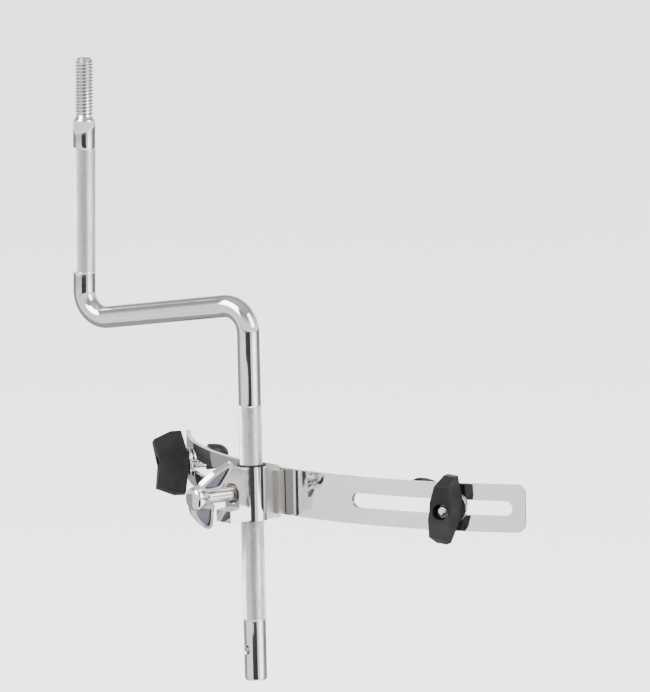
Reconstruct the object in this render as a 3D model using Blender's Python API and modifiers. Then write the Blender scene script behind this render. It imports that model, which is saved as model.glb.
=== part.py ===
# Drum-mounted rod holder: curved slotted band, rod clamp with wing bolt,
# cranked Z rod and two hook bolts with plastic wing nuts.
# Frame: origin on the band's inner face at mid-height, +Z up, -Y away from the drum.
import math

import bmesh
import bpy
from mathutils import Matrix, Vector

MM = 0.001

# ---------------------------------------------------------------- dimensions (mm)
BAND_R_IN = 184.0          # inner face radius, centred on the drum axis
BAND_T = 2.0
BAND_H = 20.0
BAND_HALF_DEG = 39.0
BAND_CORNER_R = 3.6
SLOT_DEG = (14.6, 37.3)
SLOT_H = 6.4

ROD_R = 4.76               # 3/8 in rod
KNURL_R = 4.86
STUD_R = 3.95              # 5/16 in stud
STUD_CORE_R = 3.3
ROD_STANDOFF = 13.0        # rod axis in front of the band's inner face
ROD_BOTTOM_Z = -81.2
LOW_KNURL_Z = (-54.8, 37.5)
LOW_CORNER = (0.0, -13.0, 80.8)
HIGH_CORNER = (-83.0, -39.3, 70.0)
ROD_TOP_Z = 184.2
STUD_BASE_Z = 159.5
COLLAR_Z = 157.7
HIGH_KNURL_Z = (90.8, 145.1)
HIGH_LEAN_DEG = 1.84
BEND_R = 11.0
CROSS_HOLE_Z = -67.7
CROSS_HOLE_R = 1.75

BARREL_R = 6.8
BORE_R = 5.56
CLAMP_Z = (-11.7, 11.6)
BOSS_HALF_W = 5.0
BOSS_FACE = 10.5           # boss face, measured out from the rod axis
HEEL_FACE = 15.3
BOLT_Z = 0.6
RIVET_Z = (-6.2, 6.2)
RIVET_HOLE_R = 1.9

LINER_R = (4.96, 5.46)
LINER_LIP_R = 6.5

WB_SHANK_R = 3.0
WB_TIP = 7.25
WB_FACE = 32.4             # outer face of the head, from the rod axis
WB_HUB_R = 5.2
WB_TURN_DEG = -30.0
WING_T = 3.0
WEB_T = 1.5

HOOK_R = 3.0
HOOK_NECK_R = 2.6
HOOK_BEND_R = 4.6
HOOK_RUN_R = 174.8         # radius of the run behind the tension rod
HOOK_SPAN = 18.6
HOOK_TIP = 7.2
HOOK_TILT_DEG = 22.0
HOOK_END_OUT = 11.0        # bolt end, from the nut's band-side face
SLEEVE_R = (2.95, 3.6)
RIGHT_DEG = 29.4
LEFT_DEG = -28.0
RIGHT_NUT_TURN_DEG = -7.0
LEFT_NUT_TURN_DEG = 22.0

WASHER_R = (3.3, 6.6)
WASHER_T = 1.2
NUT_SEAT = 187.65          # radius where the nut's band-side face starts
NUT_SPAN = 14.3
NUT_BORE_R = 3.35
INSERT_R = (3.1, 3.9)

DRUM_AXIS = Vector((0.0, BAND_R_IN, 0.0))
ROD_FOOT = Vector((0.0, -ROD_STANDOFF, 0.0))
BOLT_FOOT = Vector((0.0, -ROD_STANDOFF, BOLT_Z))
OUT = Vector((0.0, -1.0, 0.0))


# ---------------------------------------------------------------- scene set-up
for ob in list(bpy.data.objects):
    bpy.data.objects.remove(ob, do_unlink=True)


def collection(name):
    c = bpy.data.collections.get(name) or bpy.data.collections.new(name)
    if c.name not in bpy.context.scene.collection.children:
        bpy.context.scene.collection.children.link(c)
    return c


PARTS = collection("drum_rod_holder")
CUTTERS = collection("cutters")


def material(name, rgb, rough, metal):
    m = bpy.data.materials.new(name)
    m.use_nodes = True
    b = m.node_tree.nodes["Principled BSDF"]
    b.inputs["Base Color"].default_value = (*rgb, 1.0)
    b.inputs["Roughness"].default_value = rough
    b.inputs["Metallic"].default_value = metal
    m.diffuse_color = (*rgb, 1.0)
    return m


# ---------------------------------------------------------------- object helpers
def link(name, data, mat=None):
    ob = bpy.data.objects.new(name, data)
    PARTS.objects.link(ob)
    if mat:
        data.materials.append(mat)
    return ob


def from_bmesh(name, bm, mat=None):
    me = bpy.data.meshes.new(name)
    bm.to_mesh(me)
    bm.free()
    return link(name, me, mat)


def put(ob, matrix):
    """Stand a finished object somewhere: location and rotation only."""
    ob.matrix_world = matrix
    bpy.context.view_layer.update()
    return ob


def axes(origin, zdir, xdir):
    """Matrix whose local Z is zdir and X is xdir, origin in mm."""
    z = Vector(zdir).normalized()
    x = Vector(xdir)
    x = (x - z * x.dot(z)).normalized()
    m = Matrix((x, z.cross(x), z)).transposed().to_4x4()
    m.translation = Vector(origin) * MM
    return m


def at(point):
    return Matrix.Translation(Vector(point) * MM)


def apply_modifiers(ob):
    """Keep the evaluated shape as a plain mesh."""
    bpy.context.view_layer.update()
    dg = bpy.context.evaluated_depsgraph_get()
    me = bpy.data.meshes.new_from_object(ob.evaluated_get(dg))
    old = ob.data
    ob.modifiers.clear()
    ob.data = me
    bpy.data.meshes.remove(old)
    return ob


def weld(ob, dist=0.00001):
    """Close the seams a curve, a Screw or a Boolean leaves, well under the merge limit."""
    bm = bmesh.new()
    bm.from_mesh(ob.data)
    bmesh.ops.remove_doubles(bm, verts=bm.verts, dist=dist)
    bmesh.ops.dissolve_degenerate(bm, edges=bm.edges, dist=dist / 2)
    bmesh.ops.recalc_face_normals(bm, faces=bm.faces)
    bm.to_mesh(ob.data)
    bm.free()
    return ob


def boolean(ob, cutter, operation="DIFFERENCE"):
    PARTS.objects.unlink(cutter)
    CUTTERS.objects.link(cutter)
    cutter.hide_render = True
    cutter.display_type = "WIRE"
    bpy.context.view_layer.update()
    m = ob.modifiers.new(operation.lower(), "BOOLEAN")
    m.operation = operation
    m.solver = "EXACT"
    m.object = cutter
    return weld(apply_modifiers(ob))


def bevel(ob, width, angle=35.0, segs=2):
    m = ob.modifiers.new("edge", "BEVEL")
    m.width = width * MM
    m.segments = segs
    m.limit_method = "ANGLE"
    m.angle_limit = math.radians(angle)
    m.use_clamp_overlap = True
    return apply_modifiers(ob)


def smooth(ob, angle=30.0):
    for f in ob.data.polygons:
        f.use_smooth = True
    ob.data.set_sharp_from_angle(angle=math.radians(angle))
    return ob


def move_origin(ob, matrix):
    """Put the origin on a joint axis without moving the shape."""
    ob.data.transform(matrix.inverted() @ ob.matrix_world)
    ob.matrix_world = matrix
    return ob


# ---------------------------------------------------------------- modelling helpers
def block(name, size, centre, mat=None):
    """A box from the cube primitive, size and centre in mm."""
    bm = bmesh.new()
    bmesh.ops.create_cube(bm, size=1.0)
    bmesh.ops.scale(bm, vec=Vector(size) * MM, verts=bm.verts)
    bmesh.ops.translate(bm, vec=Vector(centre) * MM, verts=bm.verts)
    return from_bmesh(name, bm, mat)


def cylinder(name, radius, z0, z1, segs=24, mat=None):
    """A cylinder about Z from the cone primitive, in mm."""
    bm = bmesh.new()
    bmesh.ops.create_cone(bm, cap_ends=True, segments=segs, radius1=radius * MM, radius2=radius * MM,
                          depth=(z1 - z0) * MM)
    bmesh.ops.translate(bm, vec=Vector((0, 0, (z0 + z1) / 2 * MM)), verts=bm.verts)
    return from_bmesh(name, bm, mat)


def turned(name, profile, segs=48, ring=False, mat=None):
    """A turned shape: an edge profile of (radius, z) in mm, spun about Z by a Screw modifier."""
    bm = bmesh.new()
    vs = [bm.verts.new((r * MM, 0, z * MM)) for r, z in profile]
    for a, b in zip(vs, vs[1:] + ([vs[0]] if ring else [])):
        if a is not b:
            bm.edges.new((a, b))
    ob = from_bmesh(name, bm, mat)
    m = ob.modifiers.new("screw", "SCREW")
    m.axis = "Z"
    m.angle = 2 * math.pi
    m.steps = m.render_steps = segs
    m.use_merge_vertices = True
    m.merge_threshold = 0.00001
    m.use_smooth_shade = False
    return weld(apply_modifiers(ob))


def flat(name, outline, thickness, mat=None):
    """A flat plate: a filled 2D curve in XY, extruded by half its thickness each way (mm)."""
    cu = bpy.data.curves.new(name, "CURVE")
    cu.dimensions = "2D"
    cu.fill_mode = "BOTH"
    cu.extrude = thickness / 2 * MM
    sp = cu.splines.new("POLY")
    sp.points.add(len(outline) - 1)
    for p, (x, y) in zip(sp.points, outline):
        p.co = (x * MM, y * MM, 0, 1)
    sp.use_cyclic_u = True
    return curve_to_mesh(name, cu, mat)


def bar(name, stations, radius, resolution, mat=None, caps=True):
    """A bent bar: a curve through (point, radius) stations with a round bevel."""
    cu = bpy.data.curves.new(name, "CURVE")
    cu.dimensions = "3D"
    cu.bevel_depth = radius * MM
    cu.bevel_resolution = resolution
    cu.use_fill_caps = caps
    cu.twist_mode = "MINIMUM"
    sp = cu.splines.new("POLY")
    sp.points.add(len(stations) - 1)
    for p, (co, r) in zip(sp.points, stations):
        p.co = (*(Vector(co) * MM), 1)
        p.radius = r / radius
    return curve_to_mesh(name, cu, mat)


def curve_to_mesh(name, curve, mat):
    src = bpy.data.objects.new(name + "_curve", curve)
    CUTTERS.objects.link(src)
    bpy.context.view_layer.update()
    dg = bpy.context.evaluated_depsgraph_get()
    me = bpy.data.meshes.new_from_object(src.evaluated_get(dg))
    bpy.data.objects.remove(src, do_unlink=True)
    bpy.data.curves.remove(curve)
    return weld(link(name, me, mat))


def arc_strip(name, deg0, deg1, radius, height, step, thickness, mat=None):
    """A curved strip about the drum axis: an edge spun at the middle of the wall, then Solidify."""
    bm = bmesh.new()
    a = math.radians(deg0)
    x, y = math.sin(a) * radius, -math.cos(a) * radius
    v = [bm.verts.new((x * MM, y * MM, z * MM)) for z in (-height / 2, height / 2)]
    bm.edges.new(v)
    ob = from_bmesh(name, bm, mat)
    m = ob.modifiers.new("screw", "SCREW")
    m.axis = "Z"
    m.angle = math.radians(deg1 - deg0)
    m.steps = m.render_steps = max(2, round((deg1 - deg0) / step))
    m.use_smooth_shade = False
    apply_modifiers(ob)
    m = ob.modifiers.new("wall", "SOLIDIFY")
    m.thickness = thickness * MM
    m.offset = 0.0
    m.use_even_offset = False
    apply_modifiers(ob)
    return put(weld(ob), at(DRUM_AXIS))


def radial(deg):
    a = math.radians(deg)
    return Vector((math.sin(a), -math.cos(a), 0.0))


def fillet_path(corners, radius, steps=10):
    """Points of a bent bar's centre line through the corners (mm)."""
    pts = [Vector(corners[0])]
    for a, b, c in zip(corners, corners[1:], corners[2:]):
        a, b, c = Vector(a), Vector(b), Vector(c)
        u, v = (a - b).normalized(), (c - b).normalized()
        half = u.angle(v) / 2
        cut = radius / math.tan(half)
        centre = b + (u + v).normalized() * (radius / math.sin(half))
        e0, e1 = b + u * cut - centre, b + v * cut - centre
        axis = e0.cross(e1).normalized()
        pts += [centre + Matrix.Rotation(e0.angle(e1) * k / steps, 3, axis) @ e0 for k in range(steps + 1)]
    pts.append(Vector(corners[-1]))
    return pts


# ---------------------------------------------------------------- band
band = arc_strip("bracket_band", -BAND_HALF_DEG, BAND_HALF_DEG, BAND_R_IN + BAND_T / 2, BAND_H, 1.5, BAND_T,
                 material("band_chrome", (0.82, 0.82, 0.82), 0.07, 1.0))

# the four short edges across the wall are the corners
bm = bmesh.new()
bm.from_mesh(band.data)
corner_edges = [e for e in bm.edges
                if abs(abs(e.verts[0].co.z) - BAND_H / 2 * MM) < 1e-6
                and abs(e.verts[0].co.z - e.verts[1].co.z) < 1e-6
                and all(abs(abs(math.degrees(math.atan2(v.co.x, -v.co.y))) - BAND_HALF_DEG) < 0.01 for v in e.verts)]
bmesh.ops.bevel(bm, geom=corner_edges, offset=BAND_CORNER_R * MM, segments=6, profile=0.5, affect="EDGES",
                offset_type="OFFSET", clamp_overlap=False)
bm.to_mesh(band.data)
bm.free()
weld(band)

slot_end = math.degrees(SLOT_H / 2 / (BAND_R_IN + BAND_T))
for sign in (-1, 1):
    lo, hi = sorted((sign * SLOT_DEG[0], sign * SLOT_DEG[1]))
    slot = arc_strip("slot_cut", lo + slot_end, hi - slot_end, BAND_R_IN + BAND_T / 2, SLOT_H, 1.5, BAND_T + 8)
    for deg in (lo + slot_end, hi - slot_end):
        end = cylinder("slot_end", SLOT_H / 2, BAND_R_IN - 4, BAND_R_IN + BAND_T + 4, 24)
        boolean(slot, put(end, axes(DRUM_AXIS, radial(deg), (0, 0, 1))), "UNION")
    boolean(band, slot)
for z in RIVET_Z:
    hole = cylinder("rivet_hole_cut", RIVET_HOLE_R, -8, 8)
    boolean(band, put(hole, axes((0, 0, z), OUT, (1, 0, 0))))
bevel(band, 0.35, 40, 2)
smooth(band)
move_origin(band, at((0, 0, 0)))

# ---------------------------------------------------------------- clamp casting
clamp = cylinder("rod_clamp", BARREL_R, *CLAMP_Z, 48, material("clamp_chrome", (0.80, 0.80, 0.81), 0.10, 1.0))
put(clamp, at(ROD_FOOT))
neck_z = (CLAMP_Z[0] + 0.4, CLAMP_Z[1] - 0.4)
boolean(clamp, block("neck", (11.8, ROD_STANDOFF - 0.5, neck_z[1] - neck_z[0]),
                     (0, -(ROD_STANDOFF + 0.5) / 2, sum(neck_z) / 2)), "UNION")
boolean(clamp, block("foot", (17.6, 4.9, 18.8), (0, -2.95, 0)), "UNION")
front = [(2.0, 11.0), (6.9, 11.0), (BOSS_FACE, 5.6), (BOSS_FACE, -5.6),
         (HEEL_FACE, -6.2), (HEEL_FACE, -11.2), (2.0, -11.2)]
front_block = flat("front_block", front, 2 * BOSS_HALF_W)
# plate X points away from the drum and plate Y points up
boolean(clamp, put(front_block, axes(ROD_FOOT, (-1, 0, 0), OUT)), "UNION")
boolean(clamp, put(cylinder("bore_cut", BORE_R, -20, 20, 48), at(ROD_FOOT)))
bolt_hole = turned("bolt_hole_cut", [(0, 20.0), (4.3, 20.0), (4.3, 8.0), (3.3, 8.0), (3.3, 3.0), (0, 3.0)], 40)
boolean(clamp, put(bolt_hole, axes(BOLT_FOOT, OUT, (1, 0, 0))))
seat = cylinder("band_seat_cut", BAND_R_IN + BAND_T + 0.3, -30, 30, 512)
boolean(clamp, put(seat, at(DRUM_AXIS)))
for z in RIVET_Z:
    cut = cylinder("rivet_seat_cut", RIVET_HOLE_R, 0, 7.0)
    boolean(clamp, put(cut, axes((0, 0.5, z), OUT, (1, 0, 0))))
bevel(clamp, 0.4, 40, 2)
smooth(clamp)
move_origin(clamp, at(ROD_FOOT))

for tag, z in (("lower", RIVET_Z[0]), ("upper", RIVET_Z[1])):
    rivet = turned("clamp_rivet_" + tag, [
        (0, 6.1), (1.6, 6.1), (1.6, -0.35), (3.3, -0.35), (3.3, -0.75), (2.9, -1.25), (1.6, -1.65), (0, -1.7)], 24,
        mat=material("rivet_steel_" + tag, (0.62, 0.62, 0.62), 0.3, 1.0))
    smooth(put(rivet, axes((0, 0, z), OUT, (1, 0, 0))))

# ---------------------------------------------------------------- liner, insert, pad
lip_z = CLAMP_Z[1] + 0.15
liner = turned("rod_liner", [
    (LINER_R[0], lip_z + 0.8), (LINER_LIP_R, lip_z + 0.8), (LINER_LIP_R, lip_z), (LINER_R[1], lip_z),
    (LINER_R[1], CLAMP_Z[0] + 0.3), (LINER_R[0], CLAMP_Z[0] + 0.3)], 48, ring=True,
    mat=material("liner_nylon", (0.02, 0.02, 0.022), 0.5, 0.0))
put(liner, at(ROD_FOOT))
boolean(liner, block("liner_split_cut", (1.2, 6.0, 40.0), (0, 6.0 - ROD_STANDOFF, 0)))
smooth(liner)

insert = turned("bolt_insert", [(3.1, 11.3), (3.3, 11.5), (3.8, 11.5), (4.0, 11.2), (4.0, 8.3), (3.1, 8.3)], 40,
                ring=True, mat=material("insert_brass", (0.50, 0.36, 0.20), 0.35, 1.0))
smooth(put(insert, axes(BOLT_FOOT, OUT, (1, 0, 0))))

pad = turned("clamp_pad", [(0, 6.95), (2.7, 6.95), (2.9, 6.7), (2.9, 5.9), (2.6, 5.62), (0, 5.62)], 32,
             mat=material("pad_brass", (0.60, 0.45, 0.24), 0.3, 1.0))
smooth(put(pad, axes(BOLT_FOOT, OUT, (1, 0, 0))))

# ---------------------------------------------------------------- wing bolt
shank = turned("wing_bolt_shank", [
    (0, 27.9), (WB_SHANK_R, 27.9), (WB_SHANK_R, WB_TIP + 0.8), (2.3, WB_TIP), (0, WB_TIP)], 32,
    mat=material("bolt_chrome", (0.78, 0.78, 0.78), 0.15, 1.0))
smooth(put(shank, axes(BOLT_FOOT, OUT, (1, 0, 0))))

F = WB_FACE
head = turned("wing_bolt_head", [
    (0, F), (2.6, F - 0.08), (4.2, F - 0.45), (WB_HUB_R, F - 1.3), (WB_HUB_R, F - 4.6), (4.3, F - 6.2),
    (3.9, F - 7.2), (0, F - 7.2)], 40, mat=material("wing_chrome", (0.80, 0.79, 0.81), 0.10, 1.0))
# (distance out from the rod axis, distance from the bolt axis)
wing_outline = [(F - 1.0, 1.5), (F - 0.9, 4.4), (F - 2.4, 7.4), (F - 5.2, 10.8), (F - 8.6, 13.8), (F - 12.0, 16.1),
                (F - 14.6, 17.2), (F - 16.0, 17.0), (F - 16.3, 15.6), (F - 15.5, 12.0), (F - 14.5, 8.6),
                (F - 13.9, 5.4), (F - 13.3, 3.9), (F - 12.0, 3.5), (F - 7.0, 3.5), (F - 5.0, 1.5)]
web_outline = [(F - 3.7, 5.4), (F - 6.1, 9.2), (F - 9.3, 12.5), (F - 12.6, 14.9), (F - 14.6, 15.7),
               (F - 14.2, 12.2), (F - 13.1, 8.4), (F - 12.3, 5.4)]
for side in (1, -1):
    # plate X along the bolt axis, plate Y across it
    plane = axes((0, 0, 0), (-side, 0, 0), (0, 0, 1))
    wing = flat("wing", [(a, v) for a, v in wing_outline], WING_T)
    boolean(head, put(wing, plane), "UNION")
    for w in (-1, 1):
        depth = 2.25
        pocket = flat("web_cut", [(a, v) for a, v in web_outline], depth)
        boolean(head, put(pocket, at((w * (WEB_T + depth) / 2, 0, 0)) @ plane))
head_bore = cylinder("head_bore_cut", 3.3, F - 20, 28.2, 32)
boolean(head, head_bore)
bevel(head, 0.45, 45, 2)
put(head, axes(BOLT_FOOT, OUT, (-1, 0, 0)) @ Matrix.Rotation(math.radians(WB_TURN_DEG), 4, "Z"))
smooth(head)

# ---------------------------------------------------------------- cranked rod
low = Vector(LOW_CORNER)
high = Vector(HIGH_CORNER)
level = Vector((low.x - high.x, low.y - high.y, 0)).normalized()
lean = math.radians(HIGH_LEAN_DEG)
up_dir = Vector((level.x * math.sin(lean), level.y * math.sin(lean), math.cos(lean)))


def on_low(z):
    return Vector((low.x, low.y, z))


def on_high(z):
    return high + up_dir * ((z - high.z) / up_dir.z)


path = fillet_path([on_low(ROD_BOTTOM_Z), low, high, on_high(ROD_TOP_Z)], BEND_R, 10)
stations = [(on_low(z), r) for z, r in (
    (ROD_BOTTOM_Z, ROD_R - 0.9), (ROD_BOTTOM_Z + 0.3, ROD_R - 0.35), (ROD_BOTTOM_Z + 0.9, ROD_R),
    (LOW_KNURL_Z[0] - 0.3, ROD_R), (LOW_KNURL_Z[0], KNURL_R), (LOW_KNURL_Z[1], KNURL_R),
    (LOW_KNURL_Z[1] + 0.3, ROD_R))]
stations += [(p, ROD_R) for p in path[1:-1]]
stations += [(on_high(z), r) for z, r in (
    (HIGH_KNURL_Z[0] - 0.3, ROD_R), (HIGH_KNURL_Z[0], KNURL_R), (HIGH_KNURL_Z[1], KNURL_R),
    (HIGH_KNURL_Z[1] + 0.3, ROD_R), (COLLAR_Z - 1.0, ROD_R), (COLLAR_Z, 4.1), (STUD_BASE_Z - 0.2, STUD_CORE_R),
    (STUD_BASE_Z + 0.6, STUD_R), (ROD_TOP_Z - 1.6, STUD_R), (ROD_TOP_Z - 0.5, 3.2), (ROD_TOP_Z, 2.2))]
rod = bar("z_rod", stations, ROD_R, 14, material("rod_chrome", (0.80, 0.80, 0.80), 0.12, 1.0))
cross = cylinder("cross_hole_cut", CROSS_HOLE_R, -8, 8)
boolean(rod, put(cross, axes(on_low(CROSS_HOLE_Z), OUT, (1, 0, 0))))
smooth(rod)
move_origin(rod, at(ROD_FOOT))

# ---------------------------------------------------------------- hook bolts and wing nuts
# (distance out from the seat, distance from the bolt axis)
nut_profile = [(0.0, 0.0), (0.35, 4.0), (2.1, NUT_SPAN), (6.9, NUT_SPAN), (14.9, 10.7), (13.1, 0.0),
               (14.9, -10.7), (6.9, -NUT_SPAN), (2.1, -NUT_SPAN), (0.35, -4.0)]
nut_plan = [(-4.8, 3.6), (-2.1, NUT_SPAN + 1), (2.1, NUT_SPAN + 1), (4.8, 3.6),
            (4.8, -3.6), (2.1, -NUT_SPAN - 1), (-2.1, -NUT_SPAN - 1), (-4.8, -3.6)]


def fastener(tag, deg, nut_turn):
    side = 1 if deg > 0 else -1
    out = radial(deg)
    a = math.radians(deg)
    inward = Vector((-side * math.cos(a), -side * math.sin(a), 0))
    tilt = math.radians(HOOK_TILT_DEG)
    across = inward * math.cos(tilt) + Vector((0, 0, 1)) * math.sin(tilt)

    def on_hook(r, lateral=0.0):
        return DRUM_AXIS + out * r + across * lateral

    end_r = NUT_SEAT + HOOK_END_OUT
    pts = fillet_path([on_hook(end_r), on_hook(HOOK_RUN_R), on_hook(HOOK_RUN_R, HOOK_SPAN),
                       on_hook(HOOK_RUN_R + HOOK_TIP, HOOK_SPAN)], HOOK_BEND_R, 6)
    neck_r = HOOK_RUN_R + HOOK_BEND_R + 1.6
    st = [(on_hook(end_r), 2.3), (on_hook(end_r - 0.7), HOOK_R), (on_hook(neck_r + 0.4), HOOK_R),
          (on_hook(neck_r), HOOK_NECK_R)]
    st += [(p, HOOK_NECK_R) for p in pts[1:-1]]
    st += [(pts[-1] - out * 0.5, HOOK_NECK_R), (pts[-1], 2.2)]
    hook = bar("hook_bolt_" + tag, st, HOOK_R, 8, material("hook_chrome_" + tag, (0.75, 0.75, 0.75), 0.16, 1.0))
    smooth(hook)
    move_origin(hook, at(on_hook(BAND_R_IN + BAND_T)))

    covered = pts[1:-1]
    covered.append(covered[-1] + (pts[-1] - covered[-1]) * 0.6)
    mid = sum(SLEEVE_R) / 2
    sleeve = bar("hook_sleeve_" + tag, [(p, mid) for p in covered], mid, 8,
                 material("sleeve_vinyl_" + tag, (0.02, 0.02, 0.02), 0.45, 0.0), caps=False)
    wall = sleeve.modifiers.new("wall", "SOLIDIFY")
    wall.thickness = (SLEEVE_R[1] - SLEEVE_R[0]) * MM
    wall.offset = 0.0
    wall.use_even_offset = False
    weld(apply_modifiers(sleeve))
    smooth(sleeve)
    move_origin(sleeve, at(on_hook(BAND_R_IN + BAND_T)))

    base = axes(DRUM_AXIS + out * NUT_SEAT, out, (-out.y, out.x, 0))
    w0, w1 = -0.2 - WASHER_T, -0.2
    washer = turned("washer_" + tag, [
        (WASHER_R[0], w1), (WASHER_R[1] - 0.2, w1), (WASHER_R[1], w1 - 0.2), (WASHER_R[1], w0 + 0.2),
        (WASHER_R[1] - 0.2, w0), (WASHER_R[0], w0)], 40, ring=True,
        mat=material("washer_chrome_" + tag, (0.78, 0.78, 0.78), 0.12, 1.0))
    smooth(put(washer, base))
    move_origin(washer, at(DRUM_AXIS))

    turned_base = base @ Matrix.Rotation(math.radians(nut_turn), 4, "Z")
    ins = turned("nut_insert_" + tag, [
        (INSERT_R[0], 7.0), (INSERT_R[1], 7.0), (INSERT_R[1], 0.1), (INSERT_R[0], 0.1)], 32, ring=True,
        mat=material("nut_brass_" + tag, (0.55, 0.42, 0.22), 0.3, 1.0))
    smooth(put(ins, turned_base))

    nut = put(flat("wing_nut_" + tag, nut_plan, 16.0, material("nut_plastic_" + tag, (0.012, 0.012, 0.013), 0.42, 0.0)),
              at((0, 0, 8.0)))
    # profile X along the bolt axis, profile Y along the wings
    boolean(nut, put(flat("nut_profile", nut_profile, 16.0), axes((0, 0, 0), (-1, 0, 0), (0, 0, 1))), "INTERSECT")
    hub = turned("nut_hub", [(0, 12.9), (4.5, 12.9), (6.1, 1.4), (6.1, 0.0), (0, 0.0)], 40)
    boolean(nut, hub, "UNION")
    r = INSERT_R[1] + 0.3
    cut = turned("nut_bore_cut", [(0, 18.0), (NUT_BORE_R, 18.0), (NUT_BORE_R, 7.3), (r, 7.3), (r, -2.0), (0, -2.0)], 32)
    boolean(nut, cut)
    bevel(nut, 0.5, 25, 2)
    move_origin(nut, at((0, 0, 0)))
    put(nut, turned_base)
    smooth(nut)


fastener("right", RIGHT_DEG, RIGHT_NUT_TURN_DEG)
fastener("left", LEFT_DEG, LEFT_NUT_TURN_DEG)
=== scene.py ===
import math

import bmesh
import bpy
from mathutils import Matrix, Vector


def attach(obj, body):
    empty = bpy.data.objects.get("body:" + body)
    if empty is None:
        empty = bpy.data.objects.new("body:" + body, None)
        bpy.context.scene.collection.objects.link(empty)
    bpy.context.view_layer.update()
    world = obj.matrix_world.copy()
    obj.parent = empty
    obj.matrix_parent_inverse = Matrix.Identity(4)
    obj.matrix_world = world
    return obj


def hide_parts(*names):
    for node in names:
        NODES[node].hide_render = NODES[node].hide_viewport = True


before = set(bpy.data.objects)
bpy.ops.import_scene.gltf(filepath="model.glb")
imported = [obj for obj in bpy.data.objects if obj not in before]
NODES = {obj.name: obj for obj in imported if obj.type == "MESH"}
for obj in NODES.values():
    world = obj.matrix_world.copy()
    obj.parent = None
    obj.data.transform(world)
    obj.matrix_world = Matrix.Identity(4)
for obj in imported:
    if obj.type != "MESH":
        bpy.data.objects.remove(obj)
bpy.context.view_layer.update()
MM = 0.001

# ---------------------------------------------------------------- the CAD's own dimensions (mm)
BAND_R_IN, BAND_T, BAND_H = 184.0, 2.0, 20.0
BAND_HALF_DEG, BAND_CORNER_R = 39.0, 3.6
SLOT_DEG, SLOT_H = (14.6, 37.3), 6.4
RIVET_Z, RIVET_HOLE_R = (-6.2, 6.2), 1.9

ROD_R, KNURL_R, STUD_R = 4.76, 4.86, 3.95
ROD_Y, ROD_BOTTOM_Z = -13.0, -81.2
LOW_KNURL_Z = (-54.8, 37.5)
LOW_CORNER, HIGH_CORNER = (0.0, -13.0, 80.8), (-83.0, -39.3, 70.0)
ROD_TOP_Z, STUD_BASE_Z, COLLAR_Z, STUD_PITCH = 184.2, 159.5, 157.7, 1.411
HIGH_KNURL_Z, HIGH_LEAN_DEG, BEND_R = (90.8, 145.1), 1.84, 11.0
CROSS_HOLE_Z, CROSS_HOLE_R = -67.7, 1.75

BARREL_R, BORE_R, CLAMP_Z = 6.8, 5.56, (-11.7, 11.6)
NECK_HALF_W, FOOT_HALF_W, FOOT_HALF_H = 5.9, 8.8, 9.4
FOOT_FRONT_Y, FOOT_BACK_Y = -5.4, -0.5
BOSS_HALF_W, BOSS_FACE, HEEL_FACE, BOLT_Z = 5.0, 10.5, 15.3, 0.6
BOLT_CREST_R, BOLT_PITCH = 3.0, 1.0
INSERT_BORE_R, INSERT_R = 3.1, 3.9
LINER_R, LINER_LIP_R = (4.96, 5.46), 6.5
WB_TIP, WB_FACE, WB_TURN_DEG = 7.25, 32.4, -30.0
WING_HALF_T, WEB_HALF_T = 1.1, 0.45

HOOK_BEND_R, HOOK_RUN_R, HOOK_SPAN, HOOK_TILT_DEG = 4.6, 174.8, 18.6, 22.0
HOOK_END_OUT, HOOK_R, SLEEVE_R, SLEEVE_BORE_R = 11.0, 2.6, 3.6, 2.95
RIGHT_DEG, RIGHT_NUT_TURN_DEG = 29.4, -7.0
LEFT_DEG, LEFT_NUT_TURN_DEG = -28.0, 22.0
WASHER_R, NUT_SEAT, NUT_SPAN = 6.6, 187.65, 14.3

DRUM_AXIS = Vector((0.0, BAND_R_IN, 0.0))
OUT = Vector((0, -1, 0))


# ---------------------------------------------------------------- mesh helpers
def link(name, data):
    ob = bpy.data.objects.new(name, data)
    bpy.context.scene.collection.objects.link(ob)
    return ob


def new_object(name, bm, mats=()):
    bmesh.ops.recalc_face_normals(bm, faces=bm.faces)
    me = bpy.data.meshes.new(name)
    bm.to_mesh(me)
    bm.free()
    for m in mats:
        me.materials.append(m)
    return link(name, me)


def prism(outline, z0, z1):
    bm = bmesh.new()
    lo = [bm.verts.new((x * MM, y * MM, z0 * MM)) for x, y in outline]
    hi = [bm.verts.new((x * MM, y * MM, z1 * MM)) for x, y in outline]
    bm.faces.new(lo[::-1])
    bm.faces.new(hi)
    for i in range(len(outline)):
        j = (i + 1) % len(outline)
        bm.faces.new((lo[i], lo[j], hi[j], hi[i]))
    return bm


def lathe(profile, segs=96, closed=False):
    bm = bmesh.new()
    rings = []
    for r, z in profile:
        if r < 1e-6:
            rings.append([bm.verts.new((0, 0, z * MM))])
        else:
            rings.append([bm.verts.new((r * MM * math.cos(2 * math.pi * k / segs),
                                        r * MM * math.sin(2 * math.pi * k / segs), z * MM)) for k in range(segs)])
    pairs = list(zip(rings, rings[1:])) + ([(rings[-1], rings[0])] if closed else [])
    for a, b in pairs:
        for k in range(segs):
            m = (k + 1) % segs
            if len(a) == 1 and len(b) > 1:
                bm.faces.new((a[0], b[m], b[k]))
            elif len(b) == 1 and len(a) > 1:
                bm.faces.new((a[k], a[m], b[0]))
            elif len(a) > 1:
                bm.faces.new((a[k], a[m], b[m], b[k]))
    if not closed:
        for ring in (rings[0], rings[-1]):
            if len(ring) > 1:
                bm.faces.new(ring)
    return bm


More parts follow.
